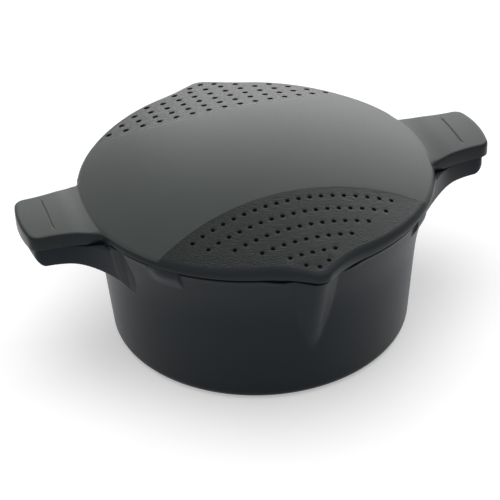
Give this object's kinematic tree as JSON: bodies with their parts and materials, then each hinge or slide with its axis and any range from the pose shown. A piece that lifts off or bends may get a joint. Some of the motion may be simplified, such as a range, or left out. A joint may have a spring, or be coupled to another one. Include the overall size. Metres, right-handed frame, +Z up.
{
  "type": "microwave cooking pot with strainer lid",
  "caption": "Round plastic cooking pot with two side handles and two pouring spouts, closed by a domed lift-off lid with fine and coarse strainer holes over the spouts.",
  "frame": {"origin": "centre of the flat base, on the surface that the pot stands on", "axes": "+Z up; X runs through the two handles; Y runs through the two spouts, with the fine strainer holes towards -Y"},
  "size_m": [0.302, 0.2434, 0.1249],
  "materials": {
    "pot_plastic": "satin charcoal polypropylene, finely grained",
    "lid_plastic": "satin charcoal polypropylene, sand-textured over the strainer slopes"
  },
  "bodies": {
    "pot": {"cooking_pot": "pot_plastic"},
    "lid": {"strainer_lid": "lid_plastic"}
  },
  "joints": [
    {"name": "lid_lift", "type": "slide", "parent": "pot", "child": "lid", "axis": [0, 0, 1], "range_m": [0, 0.15]}
  ]
}
